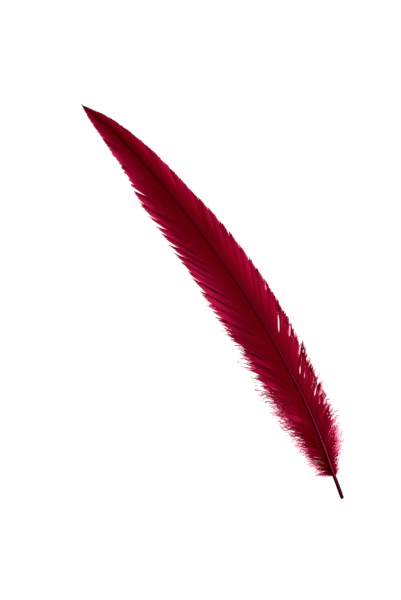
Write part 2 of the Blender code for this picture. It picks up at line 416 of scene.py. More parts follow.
# How brightly a barb glows, as (share of its length, glow): least at the shaft, where the vane is thickest,
# partly as painted shade beside the shaft, and most at its thin end, partly as painted light shining through
# it. The wide vane faces away from the lamp and its glow is raised there as painted light.
WIDE_GLOW = (
    (0, 0.17), (0.08, 0.28), (0.25, 0.36), (0.45, 0.45), (0.65, 0.58), (0.82, 0.72), (1, 0.82), (1.1, 0.98),
)
NARROW_GLOW = (
    (0, 0.12), (0.08, 0.22), (0.25, 0.29), (0.45, 0.41), (0.65, 0.52), (0.82, 0.61), (1, 0.79), (1.1, 0.98),
)
# The highest glow inside the vane, and the glow that a strand standing free is brought towards, as painted
# light shining through it.
BRIGHTEST_INSIDE = 0.8
FREE_GLOW = 0.94

# By where a ring is: glow added half-way out, as painted light where the wide vane slopes away from the lamp,
# and taken away as painted shade where a value is below 0.
WIDE_FLANK = (
    (35, 0.02), (55, 0.04), (75, -0.05), (95, 0.06), (115, -0.01), (138, 0.08), (158, 0.06), (180, 0),
    (283, 0),
)
NARROW_FLANK = ((95, 0), (130, 0.03), (160, 0.03), (180, -0.02), (230, -0.02), (283, 0))

# By where a ring is: glow added along the margin, most at the foot, where the strands are thin and apart, as
# painted light shining through them; where a value is below 0 it darkens the margin.
MARGIN_GLOW = (
    (13, 0.42), (35, 0.26), (55, 0.1), (75, -0.2), (95, -0.08), (115, -0.15), (135, 0), (155, 0),
    (175, -0.05), (195, 0), (283, 0),
)

# By where a ring is: glow added all over, or taken away, partly where the dyeing took less or more, partly as
# painted light and shade along the vane.
WIDE_DYE_AND_LIGHT = (
    (15, -0.22), (35, -0.15), (55, -0.05), (75, -0.02), (95, 0), (115, 0), (135, 0.07), (155, 0.06),
    (175, -0.03), (200, -0.07), (225, -0.04), (240, 0.02), (265, -0.06),
)
NARROW_DYE_AND_LIGHT = (
    (15, -0.04), (35, -0.03), (55, -0.04), (75, -0.03), (100, -0.02), (140, 0.03), (160, 0.01), (177, -0.08),
    (200, -0.01), (225, 0), (250, -0.1), (283, -0.12),
)

# By where a barb is rooted: how much darker it is at the shaft than at its end, how its glow varies by
# chance, how thin the locks' near edges are, and the painted shade that streaks their far edges, where the
# locks overlap.
END_SHADE = ((13, 0.1), (40, 0.05), (60, 0), (180, 0), (235, 0.06), (270, 0.1), (283, 0.14))
MOTTLE = ((13, 0.11), (60, 0.08), (110, 0.045), (180, 0.03), (283, 0.02))
THIN_LOCKS = ((13, 0.5), (80, 0.9), (150, 0.9), (185, 0.4), (205, 0), (283, 0))
STREAK_FROM = ((13, 0.5), (50, 0.35), (90, 0.25), (150, 0.3), (180, 0.5), (283, 0.7))
STREAK_STRENGTH = ((13, 0.3), (45, 0.7), (70, 0.95), (165, 0.95), (200, 0.7), (240, 0.4), (283, 0.1))
STREAK_GLOW = 0.17
STREAK_START_SPREAD = (0, 0.2)
STREAK_SPREAD = (0.3, 1.3)
STREAK_FADE = 0.6
THIN_SPREAD = (0.2, 1)

# Glow added by chance to a lock, and what a barb's own mottle is of its tuft's. Locks differ less in the
# part of the feather towards its tip.
LOCK_MOTTLE = 0.025
BARB_MOTTLE = 0.7
EVEN_TIP = (250 * MM, 150 * MM)
LEAST_UNEVEN = 0.4

# Glow added as painted light: a painted sheen on part of a lock, light shining through its thin edge, at a
# barb's end and past a full barb's length.
PAINTED_SHEEN_GLOW = 0.15
THIN_GLOW = 0.06
END_GLOW = 0.08
PAST_FULL_GLOW = 0.1

# Where along a barb each of these comes in, from none of it to all of it, as shares of a full barb.
DYE_AND_LIGHT_OVER = (0.1, 0.5)
FLANK_OVER = (0.3, 0.55)
FLANK_ENDS_OVER = (0.95, 0.75)
LOCK_MOTTLE_OVER = (0.3, 0.9)
TUFT_MOTTLE_OVER = (0.1, 0.6)
BARB_MOTTLE_OVER = (0.05, 0.6)
PAINTED_SHEEN_OVER = (0.35, 0.8)
THIN_OVER = (0.8, 1)
END_OVER = (0.88, 1)
PAST_FULL_OVER = (1.0, 1.15)
MARGIN_OVER = (0.7, 0.92)
STREAK_RISE = 0.15
STREAK_FADES_OVER = (0.9, 1)

# The same across a lock, from 0 at its edge towards the quill to 1 at its edge towards the tip.
PAINTED_SHEEN_ACROSS = (0.7, 0.15)
THIN_ACROSS = (0.42, 0)
STREAK_ACROSS = (0.66, 0.76)

# The wide vane has one pale patch on its margin, where its webs are thinner, with painted light shining
# through them.
PALE_PATCH_AT = 108 * MM
PALE_PATCH_SIZE = 3.5 * MM
PALE_PATCH_OVER = (0.76, 0.9)
PALE_PATCH_SHARE = 0.8

# What tells one vane from the other: which side it is on, how far from the chord between quill and tip it
# reaches at its widest in mm, its tables, and how strong its streaks of painted shade are.
Vane = namedtuple("Vane", "side widest reach length fringe clumps lock_tips glow flank dye streaks")
WIDE = Vane(
    side=1, widest=8.4, reach=WIDE_REACH, length=WIDE_LENGTH, fringe=WIDE_FRINGE, clumps=WIDE_CLUMPS_FROM,
    lock_tips=WIDE_LOCK_TIPS, glow=WIDE_GLOW, flank=WIDE_FLANK, dye=WIDE_DYE_AND_LIGHT, streaks=1.0,
)
NARROW = Vane(
    side=-1, widest=34.4, reach=NARROW_REACH, length=NARROW_LENGTH, fringe=NARROW_FRINGE,
    clumps=NARROW_CLUMPS_FROM, lock_tips=NARROW_LOCK_TIPS, glow=NARROW_GLOW, flank=NARROW_FLANK,
    dye=NARROW_DYE_AND_LIGHT, streaks=0.45,
)

# Where the locks part: the edges' roots, the widths of the gaps there, and where the gaps open and close.
Edges = namedtuple("Edges", "roots gaps opens closes")

# The locks or tufts that the barbs are in: each barb's group, its place in it from 0 to 1, and how many
# draws there are to share out among the groups.
Groups = namedtuple("Groups", "number within count")

# A barb: a ridge, the ramus, between two thin webs of hooked barbules.
BARB_PITCH = 0.45 * MM
PITCH_SPREAD = 0.2
BARB_RINGS = 20
RING_POWER = 0.85
WEB_OVERLAP = 0.66
WEB_LIMIT = 1.1
WEB_NEIGHBOURS = 5
NARROWEST_WEB = 0.12 * MM
WIDEST_WEB = 0.32 * MM
FREE_STEP = 1.2
FREE_OVER = (0.15 * MM, 0.4 * MM)
THINS_FROM = ((13, 0.74), (40, 0.8), (80, 0.88), (110, 0.92), (180, 0.95), (283, 0.98))
THINNED_BY = 1.1
TIP_THINS_OVER = (0.95, 1)
BARB_TIP_WIDTH = 0.55
PALE_THINNING = 0.6
RAMUS_HALF_WIDTH = 0.05 * MM
RAMUS_HEIGHT = 0.04 * MM
RAMUS_SHOULDER = 0.5
RAMUS_DEPTH = 0.12 * MM
RAMUS_TAPER = 0.75
CREASE_ANGLE = math.radians(60)


def grouped(edges, roots):
    """The groups between the edges that the barbs rooted there are in, with one draw for each edge."""
    number = np.clip(np.searchsorted(edges, roots, side="right") - 1, 0, len(edges) - 2)
    return Groups(number, (roots - edges[number]) / (edges[number + 1] - edges[number]), len(edges))


def each_alone(roots):
    """Every barb as a group of its own."""
    return Groups(np.arange(len(roots)), None, len(roots))


def even_draws(rng, spread, groups):
    """An even draw from the spread for each group, as its barbs share it."""
    return rng.uniform(*spread, groups.count)[groups.number]


def normal_draws(rng, size, groups):
    """A normal draw of the size given for each group, as its barbs share it."""
    return rng.normal(0, size, groups.count)[groups.number]


def spaced_roots(rng, widths, start, stop):
    """Roots from start to stop, a varying width apart as measured across the barbs."""
    roots = []
    here = start
    while here < stop:
        roots.append(here)
        wide = along(widths, here) * MM * rng.uniform(*ROOT_SPREAD)
        here += wide / math.sin(barb_angle(here))
    return roots


def lock_edges(form, rng):
    """The edges of a vane's locks: those that end at the listed tips, and others before and after them."""
    every = np.linspace(BARE_QUILL, LAST_ROOT, ROOT_SAMPLES)
    ends = tip_station(every, form.reach)
    listed = [(np.interp(tip * MM, ends, every), *gap) for tip, *gap in form.lock_tips]
    before = (BARE_QUILL, listed[0][0] - CLEAR_BEFORE_LISTED)
    after = (listed[-1][0] + CLEAR_AFTER_LISTED, LAST_ROOT)
    edges = [(LAST_ROOT + MM, 0.0, None, OPEN)] + listed
    for first, last in (before, after):
        for root in spaced_roots(rng, LOCK_WIDTH, first, last):
            edges.append((root, along(GAP, root) * rng.uniform(*GAP_SPREAD), None, OPEN))
    roots, gaps, opens, closes = zip(*sorted(edges))
    roots = np.array(roots)
    gaps = np.array(gaps) * MM / np.sin(barb_angle(roots))
    usual = along(SPLIT_FROM, roots) + rng.uniform(-SPLIT_SPREAD, SPLIT_SPREAD, len(roots))
    usual = np.clip(usual, 0, LATEST_SPLIT)
    opens = np.array([usual[k] if share is None else share for k, share in enumerate(opens)])
    return Edges(roots, gaps, opens, np.array(closes))


def gap_at(edges, number, t):
    """How wide the gaps at the numbered edges are at t.

    A gap widens from where it opens to the margin, or it is a slit that closes again.
    """
    start, stop = edges.opens[number][:, None], edges.closes[number][:, None]
    widening = np.clip((t - start) / (1 - start), 0, None) ** GAP_POWER
    slit = smoothstep(start, start + SLIT_END, t) * smoothstep(stop, stop - SLIT_END, t)
    return edges.gaps[number][:, None] * np.where(stop < OPEN, slit, widening)


def room(form, ends):
    """The longest share of the vane's reach that stays near the solid's width, where the shaft bows out."""
    return (form.widest - form.side * along(SHAFT_BOW, ends)) / along(form.reach, ends)


def kept_in(form, y):
    """Bends back the few strands that wander out past the feather's widest place."""
    out = form.side * y - (form.widest * MM - BEND_BACK)
    return np.where(out > 0, y - form.side * (out - BEND_BACK * (1 - np.exp(-out / BEND_BACK))), y)


def barb_lengths(form, roots, edges, lock, tuft, loose, rng):
    """Each barb's length, and that of a full barb there, as shares of the solid's.

    A lock is longest at the end towards the feather's tip, and its tufts differ. In the fringe a share of
    the barbs reach on as single strands.
    """
    n = len(roots)
    ends = tip_station(roots, form.reach)
    fringe = along(form.fringe, ends)
    full = along(form.length, ends)
    notch = np.clip(edges.gaps * np.sin(barb_angle(edges.roots)) / MM, *NOTCH_LIMITS)[lock.number + 1]
    saw = along(LOCK_SAW, roots) * notch * even_draws(rng, SAW_SPREAD, lock)
    length = full + saw * (lock.within - SAW_MIDDLE)
    length += along(NICKS, ends) * rng.normal(0, 1, n)[np.arange(n) // NICK_BARBS]
    length += fringe * even_draws(rng, LOCK_IN_FRINGE, lock)
    length += fringe * even_draws(rng, TUFT_IN_FRINGE, tuft)
    spread = LENGTH_SPREAD + LOOSE_LENGTH_SPREAD * loose**LOOSE_LENGTH_POWER
    length += spread * rng.normal(0, 1, n)
    strand = rng.uniform(0, 1, n) < STRAND_CHANCE * loose
    length += strand * fringe * rng.uniform(*STRAND_IN_FRINGE, n)
    return np.clip(length, SHORTEST_BARB, np.minimum(full + fringe, room(form, ends))), full


def barb_slides(form, roots, t, edges, lock, tuft, tuft_roots, rng):
    """How far each ring slides along the shaft: away from the gaps of its lock, and together in its tuft."""
    within = lock.within[:, None]
    slide = SLIDE_PAST_GAP * gap_at(edges, lock.number, t) * (1 - within)
    slide = slide - SLIDE_BEFORE_GAP * gap_at(edges, lock.number + 1, t) * within
    clumping = along(TUFT_CLUMPING, roots) * even_draws(rng, CLUMPING_SPREAD, tuft)
    clumping = np.clip(clumping, 0, CLOSEST_CLUMPING)[:, None]
    drawn = smoothstep(along(form.clumps, roots)[:, None], CLUMPED_BY, t) * clumping
    width = (tuft_roots[1:] - tuft_roots[:-1])[tuft.number]
    return slide - drawn * ((tuft.within - 0.5) * width)[:, None]


def barb_wander(form, roots, t, tuft, loose, rng):
    """How far the ends of tufts and loose barbs swing sideways, in waves."""
    run = barb_run(roots, form.reach)[:, None] * t
    wander = np.zeros_like(t)
    for wave, size in WAVES:
        for groups, strength in ((tuft, 1), (each_alone(roots), OWN_WAVES)):
            phase = even_draws(rng, (0, 2 * math.pi), groups)[:, None]
            swing = normal_draws(rng, strength * size, groups)[:, None]
            wander += swing * np.sin(2 * math.pi * run / wave + phase)
    free = smoothstep(along(form.clumps, roots)[:, None] - WANDERS_SOONER, WANDERS_BY, t)
    return wander * free * (LEAST_WANDER + loose[:, None] ** WANDER_POWER)


def barb_rise(roots, t, lock, loose, rng):
    """How far each ring stands above the vane: in its lock's crown and lifted tip, and as a loose barb."""
    edge = np.abs(2 * lock.within - 1)[:, None]
    crown = along(LOCK_CROWN, roots) * even_draws(rng, CROWN_SPREAD, lock) * MM
    crown = crown[:, None] * (1 - edge**2) * smoothstep(*CROWN_OVER, t)
    lift = along(LOCK_LIFT, roots) * even_draws(rng, (0, 1), lock) ** 2 * MM
    stray = np.abs(rng.normal(0, 1, len(roots)))
    stray = stray * (STRAY_RISE + LOOSE_STRAY_RISE * loose**STRAY_POWER)
    return crown + (lift[:, None] * t**3 + stray[:, None] * t**2)


def barb_paths(form, roots, shares, edges, rng):
    """Centre lines of a vane's barbs, each ring's share of a full barb, and the barbs' locks and tufts."""
    lock = grouped(edges.roots, roots)
    tuft_roots = np.array(spaced_roots(rng, TUFT_WIDTH, *TUFT_RUN))
    tuft = grouped(tuft_roots, roots)
    loose = along(LOOSENESS, roots)
    length, full = barb_lengths(form, roots, edges, lock, tuft, loose, rng)
    t = shares[None, :] * length[:, None]
    slide = barb_slides(form, roots, t, edges, lock, tuft, tuft_roots, rng)
    line = barb_lines(form.side, form.reach, roots, t, slide)
    line += sideways_of(line) * barb_wander(form, roots, t, tuft, loose, rng)[..., None]
    line[..., 1] = kept_in(form, line[..., 1])
    line[..., 2] += barb_rise(roots, t, lock, loose, rng) + LAYING_DEPTH
    return line, t / full[:, None], lock, tuft


def barb_glow(form, roots, line, t, shares, lock, tuft, rng):
    """How each ring glows, and how thin its lock is there, from 0 to 1.

    A lock has painted shade along its edge towards the feather's tip, where the locks overlap, and a painted
    sheen towards its other edge, where it is thin and pale, with painted light shining through.
    """
    x = line[..., 0]
    barb = each_alone(roots)
    # The barb's glow by its share, partly painted shade near the shaft and painted light at its thin end,
    # then glow added by station, partly painted light and shade.
    glow = between(form.glow, t) - along(END_SHADE, roots)[:, None] * np.clip(1 - t, 0, 1)
    glow += along(form.dye, x) * smoothstep(*DYE_AND_LIGHT_OVER, t)
    glow += along(form.flank, x) * smoothstep(*FLANK_OVER, t) * smoothstep(*FLANK_ENDS_OVER, t)

    # Chance variation from lock to lock, from tuft to tuft and from barb to barb.
    uneven = LEAST_UNEVEN + (1 - LEAST_UNEVEN) * smoothstep(*EVEN_TIP, roots)
    by_lock = uneven * normal_draws(rng, 1, lock)
    by_tuft = along(MOTTLE, roots) * normal_draws(rng, 1, tuft)
    by_barb = along(MOTTLE, roots) * normal_draws(rng, 1, barb)
    glow += LOCK_MOTTLE * by_lock[:, None] * smoothstep(*LOCK_MOTTLE_OVER, t)
    glow += by_tuft[:, None] * smoothstep(*TUFT_MOTTLE_OVER, t)
    glow += BARB_MOTTLE * by_barb[:, None] * smoothstep(*BARB_MOTTLE_OVER, t)

    # A painted sheen over part of each lock.
    painted_sheen = even_draws(rng, (0, 1), lock) * smoothstep(*PAINTED_SHEEN_ACROSS, lock.within)
    glow += PAINTED_SHEEN_GLOW * painted_sheen[:, None] * smoothstep(*PAINTED_SHEEN_OVER, t)
    # Painted light shining through the thin, pale edge of a lock.
    thin = along(THIN_LOCKS, roots) * even_draws(rng, THIN_SPREAD, lock)
    thin = (thin * smoothstep(*THIN_ACROSS, lock.within))[:, None] * smoothstep(*THIN_OVER, t)
    glow += THIN_GLOW * thin
    # Painted light shining through thin keratin at the barbs' ends, past a full barb's length and along the
    # margin.
    glow = np.minimum(glow, BRIGHTEST_INSIDE) + END_GLOW * smoothstep(*END_OVER, shares)[None, :]
    past_full = PAST_FULL_GLOW * smoothstep(*PAST_FULL_OVER, t)
    glow += past_full + along(MARGIN_GLOW, x) * smoothstep(*MARGIN_OVER, t)

    # Painted shade: a dark streak along each lock's edge towards the tip, where the locks overlap.
    starts = (along(STREAK_FROM, roots) + even_draws(rng, STREAK_START_SPREAD, lock))[:, None]
    shade_streak = along(STREAK_STRENGTH, roots) * np.clip(even_draws(rng, STREAK_SPREAD, lock), 0, 1)
    shade_streak = (shade_streak * smoothstep(*STREAK_ACROSS, lock.within) * form.streaks)[:, None]
    shade_streak = shade_streak * smoothstep(starts, starts + STREAK_RISE, t)
    shade_streak = shade_streak * (1 - STREAK_FADE * smoothstep(*STREAK_FADES_OVER, t))
    return glow - shade_streak * np.clip(glow - STREAK_GLOW, 0, None), thin


def brightened(glow, share):
    """Glow brought a share of the way to that of a strand that stands free, as painted light shining through
    a thin strand.
    """
    return glow + share * np.clip(FREE_GLOW - glow, 0, None)


def web_widths(line, across):
    """How far each barb's web reaches behind and ahead, and how free it stands there, from 0 to 1.

    A web reaches to the next barb, but not over a gap between locks.
    """
    steps = np.abs(np.sum(np.diff(line, axis=0) * across[1:], axis=-1))
    shifts = range(-WEB_NEIGHBOURS, WEB_NEIGHBOURS + 1)
    usual = np.median([np.roll(steps, shift, axis=0) for shift in shifts], axis=0)
    web = np.clip(np.minimum(steps * WEB_OVERLAP, usual * WEB_LIMIT), NARROWEST_WEB, WIDEST_WEB)
    free = smoothstep(*FREE_OVER, steps - FREE_STEP * usual)
    free = np.maximum(np.concatenate([free[:1], free]), np.concatenate([free, free[-1:]]))
    return np.concatenate([web[:1], web]), np.concatenate([web, web[-1:]]), free


def web_thinning(roots, t, shares, pale):
    """What is left of a web's width: a barb thins out to its tip, and where its lock is pale."""
    thinned = smoothstep(along(THINS_FROM, roots)[:, None], THINNED_BY, t)
    thinned = np.maximum(thinned, smoothstep(*TIP_THINS_OVER, shares)[None, :])
    return (1 - (1 - BARB_TIP_WIDTH) * thinned) * (1 - PALE_THINNING * pale)


def barb_rings(line, across, up, behind, ahead, shares, side):
    """The barbs' outlines at each ring: a web, the ramus with its ridge, the other web, and a keel below."""
    nothing = np.zeros_like(behind)
    slim = (1 - RAMUS_TAPER * shares)[None, :]
    ramus = RAMUS_HALF_WIDTH * slim + nothing
    ridge = RAMUS_HEIGHT * slim + nothing
    profile = (
        (behind, nothing), (ramus, ridge * RAMUS_SHOULDER), (nothing, ridge),
        (-ramus, ridge * RAMUS_SHOULDER), (-ahead, nothing), (nothing, nothing - RAMUS_DEPTH * slim),
    )
    if side < 0:
        profile = profile[::-1]
    return np.stack([line + across * a[..., None] + up * b[..., None] for a, b in profile], axis=2)


def vane(name, form, material, origin, seed):
    """One vane of barbs."""
    rng = np.random.default_rng(seed)
    edges = lock_edges(form, rng)
    roots = np.arange(FIRST_ROOT, LAST_ROOT, BARB_PITCH)
    roots = roots + rng.uniform(-PITCH_SPREAD, PITCH_SPREAD, len(roots)) * BARB_PITCH
    shares = np.linspace(0, 1, BARB_RINGS) ** RING_POWER
    line, t, lock, tuft = barb_paths(form, roots, shares, edges, rng)
    glow, pale = barb_glow(form, roots, line, t, shares, lock, tuft, rng)
    if form is WIDE:
        patch = np.exp(-(((line[..., 0] - PALE_PATCH_AT) / PALE_PATCH_SIZE) ** 2))
        patch = patch * smoothstep(*PALE_PATCH_OVER, t)
        pale = np.maximum(pale, patch)
        glow = brightened(glow, PALE_PATCH_SHARE * patch)
    across, up = across_and_up(line, form.side, form.reach)
    behind, ahead, free = web_widths(line, across)
    thinning = web_thinning(roots, t, shares, pale)
    rings = barb_rings(line, across, up, behind * thinning, ahead * thinning, shares, form.side)
    bundle = Bundle()
    # Painted light on the webs where they stand free of their neighbours.
    bundle.strands(rings, brightened(glow, free)[..., None])
    made = bundle.piece(name, material, origin)
    made.data.set_sharp_from_angle(angle=CREASE_ANGLE)
    return made


# The down. Its strands start and end at shares of a full barb, and at shares of the fringe past it.
DOWN_FROM = FIRST_ROOT + 0.5 * MM
DOWN_RUN = 36 * MM
DOWN_CROWDING = 1.35
DOWN_REACH = ((15, 1), (35, 0.9), (50, 0.5), (70, 0.2), (170, 0))
DOWN_STARTS = (0.5, 0.8)
DOWN_IN_FRINGE = (-0.5, 0.95)
DOWN_STRANDS = 260
DOWN_RINGS = 17
DOWN_RADIUS = 0.15 * MM
DOWN_TAPER = 0.7
DOWN_CORNERS = (90, 210, 330)

# How far the down strays, in mm along the shaft and in height, and as shares of its waves' size.
DOWN_SLIDE = 0.5
DOWN_RISE = 0.2
DOWN_LIFT = 0.3 * MM
SIDEWAYS_WAVES = 0.8
UPWARD_WAVES = 0.4
LEAST_WAVES = 0.3

# The down's glow by share of a full barb: paler towards the thin ends, partly as their own colour, partly as
# painted light shining through; by chance a share of the strands brightens further towards its end.
DOWN_GLOW = ((0.3, 0.28), (0.65, 0.42), (0.8, 0.66), (1.0, 0.85), (1.2, 0.95))
DOWN_MOTTLE = 0.08
BRIGHT_DOWN_CHANCE = 0.4
BRIGHT_DOWN_GLOW = 0.3

# The barbules of a downy barb: their run along it, their length, and how they stand off it.
BARBULES = 22
BARBULES_FROM = 0.08
BARBULES_OVER = 0.9
BARBULE_LENGTH = 0.5 * MM
LEAST_BARBULE = 0.45
BARBULE_SPREAD = (0.5, 1.1)
BARBULE_SHORTENING = 0.5
BARBULE_WIDTH = 0.04 * MM
BARBULE_TURN = 0.5
BARBULE_OUT = 0.75
BARBULE_FORWARD = 0.66
LOWEST_BARBULE = 0.05 * MM


def down_lines(form, roots, fluff, rng):
    """Centre lines of the down, each ring's share of a full barb, and its share of its own strand."""
    side, reach = form.side, form.reach
    n = len(roots)
    ends = tip_station(roots, reach)
    full = along(form.length, ends)
    start = (full * rng.uniform(*DOWN_STARTS, n))[:, None]
    end = full + along(form.fringe, ends) * rng.uniform(*DOWN_IN_FRINGE, n)
    end = np.minimum(end, room(form, ends))[:, None]
    s = np.linspace(0, 1, DOWN_RINGS)[None, :]
    t = start + (end - start) * s
    slide = rng.normal(0, DOWN_SLIDE, n)[:, None] * MM * s
    line = barb_lines(side, reach, roots, t, slide)
    run = barb_run(roots, reach)[:, None] * t
    swinging = LEAST_WAVES + (1 - LEAST_WAVES) * fluff[:, None]
    for axis, strength in ((sideways_of(line), SIDEWAYS_WAVES), (UPWARDS, UPWARD_WAVES)):
        for wave, size in WAVES:
            phase = rng.uniform(0, 2 * math.pi, n)[:, None]
            swing = rng.normal(0, strength * size, n)[:, None] * swinging * s
            line = line + axis * (swing * np.sin(2 * math.pi * run / wave + phase))[..., None]
    line[..., 1] = kept_in(form, line[..., 1])
    line[..., 2] += (DOWN_RISE + rng.uniform(0, 1, n) * fluff)[:, None] * MM * s + DOWN_LIFT
    line[..., 2] = np.maximum(line[..., 2], DOWN_RADIUS)
    return line, t / full[:, None], s


def down(name, form, material, origin, seed):
    """Loose, wavy barbs over the vane's foot, each with soft barbules that hook onto nothing."""
    rng = np.random.default_rng(seed)
    roots = DOWN_FROM + rng.uniform(0, 1, DOWN_STRANDS) ** DOWN_CROWDING * DOWN_RUN
    fluff = along(DOWN_REACH, roots)
    line, t, s = down_lines(form, roots, fluff, rng)
    across, up = across_and_up(line, form.side, form.reach)
    radius = DOWN_RADIUS * (1 - DOWN_TAPER * s)
    turns = [math.radians(turn) for turn in DOWN_CORNERS[:: form.side]]
    corners = [(radius * math.cos(turn), radius * math.sin(turn)) for turn in turns]
    rings = np.stack([line + across * a[..., None] + up * b[..., None] for a, b in corners], axis=2)
    glow = between(DOWN_GLOW, t) + DOWN_MOTTLE * rng.normal(0, 1, DOWN_STRANDS)[:, None]
    bright = rng.uniform(0, 1, DOWN_STRANDS) < BRIGHT_DOWN_CHANCE
    glow += BRIGHT_DOWN_GLOW * bright[:, None] * s
    bundle = Bundle()
    bundle.strands(rings, glow[..., None])
    add_barbules(bundle, line, across, up, glow, fluff, rng)
    return bundle.piece(name, material, origin)


def add_barbules(bundle, line, across, up, glow, fluff, rng):
    """Fine spikes that stand off each downy barb to both sides."""
    n, rings = glow.shape
    pick = np.arange(n)
    half = 0.5 * BARBULE_WIDTH
    for k in range(BARBULES):
        place = BARBULES_FROM + BARBULES_OVER * (k + rng.uniform(0, 1, n)) / BARBULES
        ring = np.clip((place * (rings - 1)).astype(int), 0, rings - 2)
        part = (place * (rings - 1) - ring)[:, None]
        foot = line[pick, ring] * (1 - part) + line[pick, ring + 1] * part
        forward = unit(line[pick, ring + 1] - line[pick, ring])
        turn = rng.uniform(-BARBULE_TURN, BARBULE_TURN, n)
        hand = 1.0 if k % 2 else -1.0
        out = across[pick, ring] * (hand * np.cos(turn))[:, None] + up[pick, ring] * np.sin(turn)[:, None]
        long = BARBULE_LENGTH * (LEAST_BARBULE + (1 - LEAST_BARBULE) * fluff)
        long = long * rng.uniform(*BARBULE_SPREAD, n) * (1 - BARBULE_SHORTENING * place)
        tips = foot + (BARBULE_OUT * out + BARBULE_FORWARD * forward) * long[:, None]
        tips[:, 2] = np.maximum(tips[:, 2], LOWEST_BARBULE)
        feet = np.stack([foot + forward * half, foot - forward * half, foot + up[pick, ring] * half], axis=1)
        if hand < 0:
            feet = feet[:, ::-1]
        bundle.spikes(feet, tips, glow[pick, ring])


# The shaft: its radius, and how far it lies below and beside the solid's axis.
SHAFT_RADIUS = (
    (0, 1.08), (3, 1.18), (15, 1.14), (28, 1), (40, 0.84), (60, 0.68), (80, 0.56), (100, 0.48), (130, 0.42),
    (190, 0.38), (250, 0.32), (275, 0.32), (283, 0.28),
)
SHAFT_DROP = ((0, 0), (60, 0), (100, 0.1), (150, 0.25), (240, 0.25), (270, 0.15), (283, 0.05))
SHAFT_SIDESTEP = (
    (0, 0.1), (10, 0.3), (20, 0.8), (30, 0.6), (45, 0.2), (60, -0.1), (80, -0.05), (110, 0.1), (283, 0),
)
SHAFT_FROM = 1.6 * MM
SHAFT_RINGS = 190
SHAFT_AROUND = 24

# The quill's end, from the bottom of its small hole outwards: (depth in mm, share of the quill's radius).
QUILL_END = ((1.4, 0.22), (0.5, 0.30), (0.1, 0.36), (0.0, 0.46), (0.05, 0.62), (0.35, 0.86), (0.9, 1))

# The rachis turns from round to a little square between these places, with a groove along its underside.
SQUARE_OVER = (22 * MM, 66 * MM)
SQUARE_NARROWING = 0.1
SQUARE_HEIGHTENING = 0.15
ROUNDNESS_POWER = 0.85
GROOVE_DEPTH = 0.7
GROOVE_WIDTH = 0.12

# The shaft's glow: its own, near black from the quill to 60 mm, partly as painted shade on its flank away
# from the lamp, and a painted highlight, a bright line along its flank towards the lamp.
SHAFT_GLOW = (
    (0, 0), (12, 0), (40, 0), (60, 0.02), (80, 0.1), (110, 0.14), (150, 0.14), (200, 0.1), (270, 0.1),
    (283, 0.22),
)
SHAFT_HIGHLIGHT_GLOW = ((0, 0.1), (8, 0.3), (20, 0.95), (60, 0.86), (90, 0.42), (120, 0.1), (160, 0))
SHAFT_HIGHLIGHT_AT = -0.35
SHAFT_HIGHLIGHT_WIDTH = 0.24


def shaft(name, material, origin):
    """The quill and rachis: round at the quill, with a small hole in its end, then grooved below."""
    run = LENGTH + TIP_BEYOND - SHAFT_FROM
    inner = [depth * MM for depth, _ in QUILL_END]
    x = np.concatenate([inner, SHAFT_FROM + run * np.linspace(0, 1, SHAFT_RINGS)])
    radius = along(SHAFT_RADIUS, x) * MM
    radius[: len(QUILL_END)] = [share * SHAFT_RADIUS[0][1] * MM for _, share in QUILL_END]
    axis = shaft_at(x)
    axis[:, 1] += along(SHAFT_SIDESTEP, x) * MM
    axis[:, 2] -= along(SHAFT_DROP, x) * MM
    left = np.cross(UPWARDS, ahead_at(x))
    turn = np.linspace(0, 2 * math.pi, SHAFT_AROUND, endpoint=False)
    square = smoothstep(*SQUARE_OVER, x)[:, None]
    ridge = np.sign(np.sin(turn)) * np.abs(np.sin(turn)) ** ROUNDNESS_POWER
    groove = GROOVE_DEPTH * np.exp((-1 - np.sin(turn)) / GROOVE_WIDTH)
    wide = np.cos(turn)[None] * (1 - SQUARE_NARROWING * square)
    high = ridge[None] * (1 + SQUARE_HEIGHTENING * square) + groove[None] * square
    rings = axis[:, None, :] + left[:, None, :] * (radius[:, None] * wide)[..., None]
    rings = rings + UPWARDS * (radius[:, None] * high)[..., None]
    # A painted highlight along the shaft's upper flank towards the lamp.
    painted_highlight = np.exp(-(((np.cos(turn) - SHAFT_HIGHLIGHT_AT) / SHAFT_HIGHLIGHT_WIDTH) ** 2)) * (np.sin(turn) > 0)
    glow = along(SHAFT_GLOW, x)[:, None] + along(SHAFT_HIGHLIGHT_GLOW, x)[:, None] * painted_highlight[None]
    bundle = Bundle()
    bundle.strands(rings[None], glow[None])
    return bundle.piece(name, material, origin)


# Materials.


def node(tree, kind, **settings):
    """A new node with its settings."""
    made = tree.nodes.new(kind)
    for key, value in settings.items():
        setattr(made, key, value)
    return made


def set_inputs(made, values):
    """Sets a node's inputs by their names."""
    for key, value in values.items():
        made.inputs[key].default_value = value


def glow_of(tree):
    """The glow that the mesh holds for each of its points."""
    return node(tree, "ShaderNodeAttribute", attribute_name="glow", attribute_type="GEOMETRY").outputs["Fac"]


def ramp(tree, source, stops):
    """A colour ramp: stops are (place, colour)."""
    made = node(tree, "ShaderNodeValToRGB")
    elements = made.color_ramp.elements
    while len(elements) < len(stops):
        elements.new(0.5)
    for element, (place, colour) in zip(elements, stops):
        element.position = place
        element.color = (*colour, 1)
    tree.links.new(source, made.inputs["Fac"])
    return made.outputs["Color"]


def maths(tree, operation, *values):
    """A sum of numbers and of other nodes' outputs."""
    made = node(tree, "ShaderNodeMath", operation=operation)
    for socket, value in zip(made.inputs, values):
        if isinstance(value, (int, float)):
            socket.default_value = value
        else:
            tree.links.new(value, socket)
    return made.outputs[0]


def scaled(tree, colour, factor):
    """A colour made brighter or darker by a factor."""
    made = node(tree, "ShaderNodeVectorMath", operation="SCALE")
    tree.links.new(colour, made.inputs[0])
    tree.links.new(factor, made.inputs["Scale"])
    return made.outputs[0]


